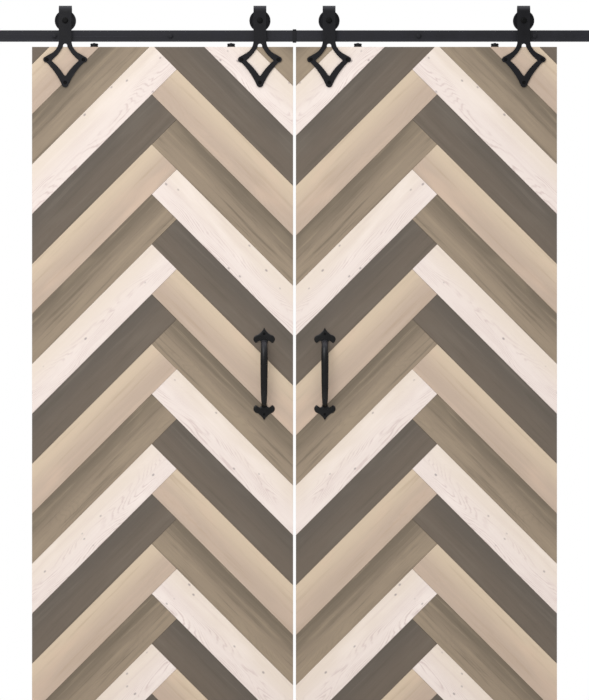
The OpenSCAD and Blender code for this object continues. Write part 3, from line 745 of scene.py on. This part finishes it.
class Graph:
    """Short ways to add and link the nodes of one shader tree."""

    def __init__(self, tree):
        self.tree = tree

    def feed(self, socket, value):
        """Links an output into an input, or sets its number, vector or colour."""
        if isinstance(value, bpy.types.NodeSocket):
            self.tree.links.new(value, socket)
        elif np.isscalar(value):
            socket.default_value = value
        else:
            socket.default_value = (*value, 1.0)[: len(socket.default_value)]

    def add(self, kind, inputs=(), **settings):
        """A node of a kind, with its inputs by name or number and its settings."""
        node = self.tree.nodes.new("ShaderNode" + kind)
        for key, value in settings.items():
            setattr(node, key, value)
        for key, value in dict(inputs).items():
            self.feed(node.inputs[key], value)
        return node

    def math(self, operation, a, b=0.0, c=0.0):
        """Arithmetic with up to three numbers or outputs."""
        return self.add("Math", {0: a, 1: b, 2: c}, operation=operation).outputs[0]

    def ramp(self, value, low, high, start=0.0, end=1.0):
        """Start below low, end above high, and a smooth step between."""
        inputs = {"Value": value, "From Min": low, "From Max": high, "To Min": start, "To Max": end}
        return self.add("MapRange", inputs, interpolation_type="SMOOTHSTEP").outputs["Result"]

    def mix(self, share, a, b):
        """Colour a, with a share of colour b."""
        node = self.add("Mix", data_type="RGBA")
        for index, value in ((0, share), (6, a), (7, b)):
            self.feed(node.inputs[index], value)
        return node.outputs[2]

    def scaled(self, vector, factors):
        """A vector stretched by a factor along each axis."""
        return self.add("VectorMath", {0: vector, 1: factors}, operation="MULTIPLY").outputs[0]

    def noise(self, vector, scale=1.0, detail=2.0, rough=0.5):
        """Clouds from 0 to 1."""
        inputs = {"Vector": vector, "Scale": scale, "Detail": detail, "Roughness": rough}
        return self.add("TexNoise", inputs).outputs["Fac"]

    def bump(self, shader, height, distance, strength=1.0):
        """Relief on a shader, a height of 1 standing out by the distance."""
        inputs = {"Height": height, "Distance": distance, "Strength": strength}
        self.feed(shader.inputs["Normal"], self.add("Bump", inputs).outputs["Normal"])

    def place(self, group, **values):
        """A node group with its own values, whose outputs are returned."""
        inputs = {key.replace("_", " "): value for key, value in values.items()}
        node = self.add("Group", node_tree=group)
        for key, value in inputs.items():
            self.feed(node.inputs[key], value)
        return node.outputs


def new_group(name, numbers, outputs):
    """A shader group with a Vector and number inputs: its graph, its inputs and its output node."""
    tree = bpy.data.node_groups.new(name, "ShaderNodeTree")
    tree.interface.new_socket("Vector", in_out="INPUT", socket_type="NodeSocketVector")
    for label, default in numbers.items():
        socket = tree.interface.new_socket(label, in_out="INPUT", socket_type="NodeSocketFloat")
        socket.default_value = default
    for label in outputs:
        tree.interface.new_socket(label, in_out="OUTPUT", socket_type="NodeSocketFloat")
    return Graph(tree), tree.nodes.new("NodeGroupInput").outputs, tree.nodes.new("NodeGroupOutput")


def wood_figure():
    """Masks of sawn wood, for a vector that runs along the board in X and across it in Y.

    Rings are contour lines of a hill that rises across the board and sways along it. Knots are
    the middles of a few stretched cells.
    """
    group = bpy.data.node_groups.get("Wood figure")
    if group:
        return group
    names = ("Pores", "Streaks", "Rings", "Blush", "Knots")
    g, inputs, out = new_group("Wood figure", {"Ring count": 22.0, "Sway": 1.6}, names)
    vector = inputs["Vector"]
    across = g.add("SeparateXYZ", {0: vector}).outputs["Y"]
    sway = g.noise(g.scaled(vector, (2.0, 9.0, 23.0)), detail=1.0)
    flutter = g.noise(g.scaled(vector, (14.0, 90.0, 29.0)), detail=3.0)
    hill = g.math("MULTIPLY_ADD", across, 7.0, g.math("MULTIPLY", sway, inputs["Sway"]))
    hill = g.math("MULTIPLY_ADD", flutter, 0.07, hill)
    line = g.math("PINGPONG", g.math("MULTIPLY", hill, inputs["Ring count"]), 0.5)
    broken = g.ramp(g.noise(g.scaled(vector, (7.0, 30.0, 37.0)), detail=2.0), 0.38, 0.62)
    cells = g.add("TexVoronoi", {"Vector": g.scaled(vector, (22.0, 32.0, 9.0)), "Scale": 1.0})
    picked = g.add("SeparateColor", {0: cells.outputs["Color"]}).outputs[0]
    spot = g.ramp(cells.outputs["Distance"], 0.05, 0.17, 1.0, 0.0)
    masks = {
        "Pores": g.noise(g.scaled(vector, (14.0, 420.0, 31.0)), detail=3.0, rough=0.6),
        "Streaks": g.noise(g.scaled(vector, (2.6, 60.0, 17.0)), detail=5.0, rough=0.62),
        "Rings": g.math("MULTIPLY", g.ramp(line, 0.22, 0.5), broken),
        "Blush": g.noise(g.scaled(vector, (3.6, 14.0, 13.0)), detail=2.0),
        "Knots": g.math("MULTIPLY", spot, g.math("GREATER_THAN", picked, 0.6)),
    }
    for label, value in masks.items():
        g.feed(out.inputs[label], value)
    return g.tree


def coated_skin():
    """Masks of coated iron: soft dents, an orange peel, clouds and the line of an outer edge."""
    group = bpy.data.node_groups.get("Coated skin")
    if group:
        return group
    g, inputs, out = new_group("Coated skin", {"Dents": 60.0}, ("Height", "Cloud", "Edge"))
    vector = inputs["Vector"]
    dents = g.noise(vector, inputs["Dents"])
    peel = g.noise(vector, 1100.0)
    g.feed(out.inputs["Height"], g.math("MULTIPLY_ADD", peel, 0.18, dents))
    g.feed(out.inputs["Cloud"], g.noise(vector, 18.0, 4.0, 0.6))
    pointed = g.add("NewGeometry").outputs["Pointiness"]
    # Lighter along sharp outer edges, broken up by noise.
    edge_lightening = g.math("MULTIPLY", g.noise(vector, 140.0, 3.0), g.ramp(pointed, 0.52, 0.62))
    g.feed(out.inputs["Edge"], edge_lightening)
    return g.tree


def new_finish(slot):
    """A material with its principled shader: the material, its graph, the shader, coordinates."""
    material = bpy.data.materials.new(slot + "_finish")
    material.use_nodes = True
    g = Graph(material.node_tree)
    shader = material.node_tree.nodes["Principled BSDF"]
    return material, g, shader, g.add("TexCoord").outputs["Object"]


# ------------------------------------------------------------------ finishes


# Per wood: how much streaks, rings, blush, knots and pores show, the tints that they bring, and
# how rough the face is.
WOODS = {
    "plank_tan": (0.35, 0.10, 0.42, 0.0, 0.10, "#a89078", "#d6bca6", 0.62),
    "plank_brown": (0.66, 0.15, 0.30, 0.0, 0.22, "#6a5f50", "#a8977f", 0.66),
    "plank_white": (0.25, 0.66, 0.30, 0.7, 0.06, "#cdb9b4", "#fbf0ea", 0.58),
    "plank_dark": (0.45, 0.08, 0.25, 0.0, 0.15, "#585146", "#7a7166", 0.68),
}
KNOT = "#8f8484"


def plank_finish(slot):
    """A stained board: a slow change of colour across it, then streaks, rings, blush and knots."""
    streak, ring, blush, knot, pore, deep, pale, rough = WOODS[slot]
    colours = bpy.context.scene.barn_colours
    wood = slot.removeprefix("plank_")
    material, g, shader, _ = new_finish(slot)
    grain = g.add("Attribute", attribute_name="grain").outputs["Vector"]
    across = g.add("SeparateXYZ", {0: grain}).outputs["Y"]
    width = bpy.context.scene.barn_planks.width
    figure = g.place(wood_figure(), Vector=grain)
    low_edge = g.ramp(across, 0.05 * width, 0.75 * width)
    upper, lower = (getattr(colours, f"{wood}_{end}") for end in ("upper", "lower"))
    paint = g.mix(low_edge, upper[:], lower[:])
    paint = g.mix(g.ramp(figure["Streaks"], 0.50, 0.72, 0.0, streak), paint, linear(deep))
    paint = g.mix(g.ramp(figure["Streaks"], 0.48, 0.30, 0.0, streak * 0.6), paint, linear(pale))
    paint = g.mix(g.ramp(figure["Blush"], 0.50, 0.75, 0.0, blush), paint, linear(pale))
    strip = g.ramp(across, 0.30 * width, 0.62 * width, 0.12, 1.0)
    rings = g.math("MULTIPLY", g.math("MULTIPLY", figure["Rings"], strip), ring)
    paint = g.mix(rings, paint, linear(deep))
    paint = g.mix(g.math("MULTIPLY", figure["Knots"], knot), paint, linear(KNOT))
    paint = g.mix(g.ramp(figure["Pores"], 0.55, 0.75, 0.0, pore), paint, linear(deep))
    g.feed(shader.inputs["Base Color"], paint)
    g.feed(shader.inputs["Roughness"], g.ramp(figure["Pores"], 0.3, 0.7, rough - 0.08, rough + 0.1))
    shader.inputs["Specular IOR Level"].default_value = 0.3
    relief = g.math("MULTIPLY_ADD", figure["Streaks"], 0.5, figure["Pores"])
    relief = g.math("SUBTRACT", relief, g.math("MULTIPLY", figure["Rings"], 0.5 * ring))
    g.bump(shader, relief, 0.25 * MM, 0.5)
    return material


def back_finish(slot):
    """Veneer leaves side by side, each second one turned over, and plies on the edges."""
    material, g, shader, place = new_finish(slot)
    xyz = g.add("SeparateXYZ", {0: place})
    leaf = g.math("FLOOR", g.math("DIVIDE", xyz.outputs["X"], LEAF))
    inside = g.math("PINGPONG", xyz.outputs["X"], LEAF)
    inputs = {"X": xyz.outputs["Z"], "Y": inside, "Z": g.math("MULTIPLY", leaf, 0.013)}
    grain = g.add("CombineXYZ", inputs).outputs[0]
    figure = g.place(wood_figure(), Vector=grain, Ring_count=6.0, Sway=2.2)
    base = bpy.context.scene.barn_colours.back[:]
    paint = g.mix(g.ramp(figure["Streaks"], 0.4, 0.7, 0.0, 0.4), base, linear("#9a7a54"))
    paint = g.mix(g.math("MULTIPLY", figure["Rings"], 0.45), paint, linear("#8f6d47"))
    paint = g.mix(g.ramp(figure["Blush"], 0.5, 0.7, 0.0, 0.35), paint, linear("#c7a882"))
    paint = g.mix(g.ramp(figure["Pores"], 0.56, 0.7, 0.0, 0.35), paint, linear("#6f5436"))
    # The edges show plies: bands through the thickness, in turn along and across.
    normal = g.add("SeparateXYZ", {0: g.add("NewGeometry").outputs["Normal"]})
    on_edge = g.math("LESS_THAN", g.math("ABSOLUTE", normal.outputs["Y"]), 0.6)
    ply = g.ramp(g.math("PINGPONG", xyz.outputs["Y"], PLY), 0.9 * MM, 1.1 * MM)
    plies = g.mix(ply, linear("#b99a70"), linear("#8a6a45"))
    plies = g.mix(g.ramp(g.noise(place, 400.0), 0.45, 0.7, 0.0, 0.4), plies, linear("#6f5436"))
    g.feed(shader.inputs["Base Color"], g.mix(on_edge, paint, plies))
    g.feed(shader.inputs["Roughness"], g.ramp(figure["Pores"], 0.3, 0.7, 0.42, 0.6))
    g.bump(shader, figure["Pores"], 0.2 * MM, 0.4)
    return material


# Per coat: its colour, roughness, specular level, dents per metre, their depth in mm, and how
# strongly a painted highlight lightens faces that look up, standing in for light from above.
COATS = {
    "rail_paint": ("rail", 0.50, 0.22, 90.0, 0.05, 0.3),
    "hardware_paint": ("iron", 0.42, 0.18, 45.0, 0.35, 0.9),
    "pull_paint": ("pull", 0.27, 0.26, 40.0, 0.50, 0.8),
    "wheel_paint": ("iron", 0.38, 0.14, 70.0, 0.05, 0.0),
    "bolt_black": ("pull", 0.42, 0.09, 120.0, 0.05, 0.0),
}
# The grey of the painted highlight on faces that look up, standing in for light from above.
SHEEN_GREY = "#3a3a3f"


def coat_finish(slot):
    """A black coat on iron: clouds, a fine peel, soft dents, lighter edges and a painted highlight.

    The painted highlight grows with how far a face looks up, standing in for light from above.
    """
    name, rough, specular, dents, depth, dust_and_sheen = COATS[slot]
    material, g, shader, place = new_finish(slot)
    base = np.array(getattr(bpy.context.scene.barn_colours, name)[:])
    skin = g.place(coated_skin(), Vector=place, Dents=dents)
    paint = g.mix(g.ramp(skin["Cloud"], 0.3, 0.7), tuple(0.8 * base), tuple(1.25 * base))
    # Outer edges are made lighter.
    paint = g.mix(g.math("MULTIPLY", skin["Edge"], 0.5), paint, tuple(3.5 * base + 0.01))
    # Painted highlight: faces that look up are lightened towards a grey, as light from above shows
    # them.
    up = g.add("SeparateXYZ", {0: g.add("NewGeometry").outputs["Normal"]}).outputs["Z"]
    paint = g.mix(g.ramp(up, 0.08, 0.75, 0.0, dust_and_sheen), paint, linear(SHEEN_GREY))
    g.feed(shader.inputs["Base Color"], paint)
    g.feed(shader.inputs["Roughness"], g.ramp(skin["Cloud"], 0.3, 0.7, rough - 0.05, rough + 0.08))
    shader.inputs["Specular IOR Level"].default_value = specular
    g.bump(shader, skin["Height"], depth * MM, 0.6)
    return material


# Per steel: its bright and its dull tint.
STEELS = {"bearing_steel": ("#c9cbce", "#9a9da1"), "sleeve_steel": ("#b4b7ba", "#85888c")}


def steel_finish(slot):
    """Turned steel: fine rings round the axle and a faint cloud."""
    material, g, shader, place = new_finish(slot)
    turned_lines = g.noise(g.scaled(place, (60.0, 2600.0, 60.0)), detail=1.0)
    cloud = g.noise(place, 90.0, 3.0)
    bright, dull = STEELS[slot]
    g.feed(shader.inputs["Base Color"], g.mix(cloud, linear(bright), linear(dull)))
    g.feed(shader.inputs["Roughness"], g.ramp(turned_lines, 0.3, 0.7, 0.18, 0.36))
    shader.inputs["Metallic"].default_value = 1.0
    g.bump(shader, turned_lines, 0.03 * MM, 0.4)
    return material


def rubber_finish(slot):
    """Black rubber with dust in its pores."""
    material, g, shader, place = new_finish(slot)
    pores = g.noise(place, 900.0, 3.0, 0.65)
    dust_and_sheen = g.ramp(g.noise(place, 60.0, 4.0), 0.5, 0.75, 0.0, 0.35)
    g.feed(shader.inputs["Base Color"], g.mix(dust_and_sheen, linear("#161616"), linear("#37352f")))
    g.feed(shader.inputs["Roughness"], g.ramp(pores, 0.3, 0.7, 0.7, 0.9))
    g.bump(shader, pores, 0.1 * MM, 0.6)
    return material


def finish(slot):
    """The material of a slot of the record, made the first time it is asked for."""
    made = bpy.data.materials.get(slot + "_finish")
    if made:
        return made
    makers = {**dict.fromkeys(WOODS, plank_finish), **dict.fromkeys(COATS, coat_finish)}
    makers |= dict.fromkeys(STEELS, steel_finish)
    makers |= {"core_wood": back_finish, "bumper_rubber": rubber_finish}
    return makers[slot](slot)


# ------------------------------------------------------------------ stage


def add_floor():
    """A pale, faintly clouded floor that reaches further in front of the doors than behind."""
    columns, rows = 21, 17
    across, along = np.linspace(*FLOOR_X, columns), np.linspace(*FLOOR_Y, rows)
    x, y = np.meshgrid(across, along, indexing="ij")
    points = np.stack([x, y, np.full_like(x, FLOOR_Z)], axis=-1).reshape(-1, 3)
    mesh = bpy.data.meshes.new("floor")
    mesh.from_pydata(points.tolist(), [], grid_faces(columns, rows)[:, ::-1].tolist())
    floor = bpy.data.objects.new("floor", mesh)
    bpy.context.scene.collection.objects.link(floor)
    material, g, shader, place = new_finish("floor")
    shade = g.noise(place, 1.3, 4.0)
    g.feed(shader.inputs["Base Color"], g.mix(shade, FLOOR_DARK, FLOOR_PALE))
    shader.inputs["Roughness"].default_value = 0.8
    mesh.materials.append(material)


def add_light(sizes):
    """Soft light that grows with height, white to the camera, and one large lamp up in front."""
    world = bpy.data.worlds.new("studio")
    bpy.context.scene.world = world
    world.use_nodes = True
    world.node_tree.nodes.clear()
    g = Graph(world.node_tree)
    way = g.add("TexCoord").outputs["Generated"]
    up = g.ramp(g.add("SeparateXYZ", {0: way}).outputs["Z"], 0.0, 0.9, SKY_LOW, SKY_HIGH)
    strength = g.math("MULTIPLY", up, sizes.sky)
    sky = g.add("Background", {"Color": (1.0, 1.0, 1.0), "Strength": strength})
    white = g.add("Background", {"Color": (1.0, 1.0, 1.0), "Strength": 1.0})
    seen = g.add("LightPath").outputs["Is Camera Ray"]
    both = g.add("MixShader", {0: seen, 1: sky.outputs[0], 2: white.outputs[0]})
    g.add("OutputWorld", {0: both.outputs[0]})
    lamp = bpy.data.lights.new("soft_lamp", "AREA")
    lamp.shape, lamp.energy = "RECTANGLE", sizes.lamp
    lamp.size, lamp.size_y = LAMP_SIZE
    holder = bpy.data.objects.new("soft_lamp", lamp)
    bpy.context.scene.collection.objects.link(holder)
    holder.location = LAMP_PLACE
    aim = Vector((0, 0, DOOR_TOP - DOOR_H / 2)) - holder.location
    holder.rotation_euler = aim.to_track_quat("-Z", "Y").to_euler()


def add_camera(sizes):
    """A long lens straight in front, whose picture takes in the view height at the doors."""
    data = bpy.data.cameras.new("camera")
    camera = bpy.data.objects.new("camera", data)
    bpy.context.scene.collection.objects.link(camera)
    data.lens = data.sensor_width * sizes.distance / sizes.view_height
    data.clip_end = 4 * sizes.distance
    camera.location = (0, DOOR_FRONT - sizes.distance, sizes.view_z)
    camera.rotation_euler = (math.pi / 2, 0, 0)
    bpy.context.scene.camera = camera


# ------------------------------------------------------------------ operators


class BARN_OT_planks(Operator):
    """Lays the herringbone, each plank a board of its own"""

    bl_idname = "barn.planks"
    bl_label = "Planks"

    def execute(self, context):
        sizes = context.scene.barn_planks
        for rising in (True, False):
            for number, outline, low in plank_outlines(sizes, rising):
                for side in SIDES:
                    add_plank(sizes, side, rising, number, outline, low)
        return {"FINISHED"}


class BARN_OT_panels(Operator):
    """Makes the backing panels behind the planks"""

    bl_idname = "barn.panels"
    bl_label = "Backing panels"

    def execute(self, context):
        for side in SIDES:
            edged_copy(side + "_core", "core_wood", 1 * MM)
        return {"FINISHED"}


class BARN_OT_hangers(Operator):
    """Bends the four straps and screws them to the doors"""

    bl_idname = "barn.hangers"
    bl_label = "Hangers"

    def execute(self, context):
        for side in SIDES:
            for place in ("outer", "inner"):
                add_strap(context.scene.barn_hangers, side, place)
            screws(side + "_strap_screws", "bolt_black", FRONT, 3 * MM, 3.6 * MM)
        return {"FINISHED"}


class BARN_OT_axles(Operator):
    """Makes the axle bolts, with their nuts, washers, sleeves and inner bearing rings"""

    bl_idname = "barn.axles"
    bl_label = "Axles"

    def execute(self, context):
        for side in SIDES:
            add_bolts(side + "_axle_bolts", "bolt_black", 6.4 * MM, 5 * MM)
            add_nuts(side + "_axle_nuts", "bolt_black", 5 * MM)
            rings(side + "_axle_washers", "bolt_black", FRONT, 5.1 * MM, 0.5 * MM)
            refinish(side + "_axle_sleeves", "sleeve_steel")
            refinish(side + "_bearing_inner_rings", "bearing_steel")
        return {"FINISHED"}


class BARN_OT_wheels(Operator):
    """Turns the grooved wheels and finishes their bearings"""

    bl_idname = "barn.wheels"
    bl_label = "Wheels"

    def execute(self, context):
        for number in range(1, 5):
            add_wheel(number)
            refinish(f"bearing_outer_{number}", "bearing_steel")
            refinish(f"bearing_balls_{number}", "bearing_steel")
        return {"FINISHED"}


class BARN_OT_pulls(Operator):
    """Forges the pull handles and screws them on"""

    bl_idname = "barn.pulls"
    bl_label = "Pull handles"

    def execute(self, context):
        sizes = context.scene.barn_pulls
        for side in SIDES:
            low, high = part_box(side + "_pull_handle")
            middle = (low.x + high.x) / 2
            shells = [
                pull_plate(sizes, middle, high.z, 1),
                pull_plate(sizes, middle, low.z, -1),
                pull_grip(sizes, middle, low, high),
            ]
            piece = make_piece(side + "_pull_forged", side + "_door", "pull_paint", *joined(shells))
            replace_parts(piece, side + "_pull_handle")
            screws(side + "_pull_screws", "bolt_black", FRONT, 2.2 * MM, 2.4 * MM)
        return {"FINISHED"}


class BARN_OT_discs(Operator):
    """Puts the discs that keep the wheels on the rail on top of the doors"""

    bl_idname = "barn.discs"
    bl_label = "Anti-jump discs"

    def execute(self, context):
        for side in SIDES:
            add_discs(side)
            screws(side + "_disc_screws", "bolt_black", UP, 2.5 * MM, 3 * MM)
        return {"FINISHED"}


class BARN_OT_rail(Operator):
    """Joins the two bars of the rail with a plate behind and a collar over the joint"""

    bl_idname = "barn.rail"
    bl_label = "Rail"

    def execute(self, context):
        for node in ("rail_left", "rail_right", "splice_plate"):
            edged_copy(node, "rail_paint", 0.8 * MM)
        edged_copy("rail_collar", "hardware_paint", 0.8 * MM)
        screws("splice_screws", "bolt_black", BACK, 3 * MM, 3 * MM)
        return {"FINISHED"}


class BARN_OT_wall_fixings(Operator):
    """Hangs the rail on its wall bolts, with spacers and washers"""

    bl_idname = "barn.wall_fixings"
    bl_label = "Wall fixings"

    def execute(self, context):
        rings("wall_spacers", "rail_paint", FRONT, 4.5 * MM, 0.8 * MM)
        rings("wall_bolt_washers", "rail_paint", FRONT, 4.4 * MM, 0.4 * MM)
        add_bolts("wall_bolts", "rail_paint", 5 * MM, 4 * MM, lag=True)
        return {"FINISHED"}


class BARN_OT_stops(Operator):
    """Clamps the end stops with their rubber bumpers to the rail"""

    bl_idname = "barn.stops"
    bl_label = "End stops"

    def execute(self, context):
        edged_copy("end_stops", "hardware_paint", 1 * MM, 3)
        screws("stop_screws", "bolt_black", FRONT, 3 * MM, 3.5 * MM)
        add_bumpers()
        return {"FINISHED"}


class BARN_OT_floor_guides(Operator):
    """Screws the fins that guide the doors' lower edges to the floor"""

    bl_idname = "barn.floor_guides"
    bl_label = "Floor guides"

    def execute(self, context):
        edged_copy("floor_guides", "hardware_paint", 0.6 * MM)
        screws("guide_screws", "bolt_black", UP, 2.5 * MM, 2.6 * MM)
        return {"FINISHED"}


class BARN_OT_stage(Operator):
    """Sets out the floor, the light and the camera"""

    bl_idname = "barn.stage"
    bl_label = "Stage"

    def execute(self, context):
        sizes = context.scene.barn_stage
        add_floor()
        add_light(sizes)
        add_camera(sizes)
        context.scene.view_settings.view_transform = "Standard"
        return {"FINISHED"}


OPERATORS = (
    BARN_OT_planks,
    BARN_OT_panels,
    BARN_OT_hangers,
    BARN_OT_axles,
    BARN_OT_wheels,
    BARN_OT_pulls,
    BARN_OT_discs,
    BARN_OT_rail,
    BARN_OT_wall_fixings,
    BARN_OT_stops,
    BARN_OT_floor_guides,
    BARN_OT_stage,
)


class BARN_PT_doors(Panel):
    """Lists the doors' sizes, colours and pieces"""

    bl_label = "Barn Doors"
    bl_space_type = "VIEW_3D"
    bl_region_type = "UI"
    bl_category = "Barn Doors"

    def draw(self, context):
        for name in GROUPS:
            box = self.layout.box()
            settings = getattr(context.scene, name)
            for key in settings.__annotations__:
                box.prop(settings, key)
        for operator in OPERATORS:
            self.layout.operator(operator.bl_idname)


GROUPS = {
    "barn_planks": BARN_PG_planks,
    "barn_hangers": BARN_PG_hangers,
    "barn_pulls": BARN_PG_pulls,
    "barn_colours": BARN_PG_colours,
    "barn_stage": BARN_PG_stage,
}
CLASSES = (*GROUPS.values(), *OPERATORS, BARN_PT_doors)


def register():
    for cls in CLASSES:
        bpy.utils.register_class(cls)
    for name, group in GROUPS.items():
        setattr(bpy.types.Scene, name, PointerProperty(type=group))


def unregister():
    for name in GROUPS:
        delattr(bpy.types.Scene, name)
    for cls in reversed(CLASSES):
        bpy.utils.unregister_class(cls)


def main():
    register()
    for operator in OPERATORS:
        getattr(bpy.ops.barn, operator.bl_idname.removeprefix("barn."))()
    bpy.context.view_layer.update()


if __name__ == "__main__":
    main()
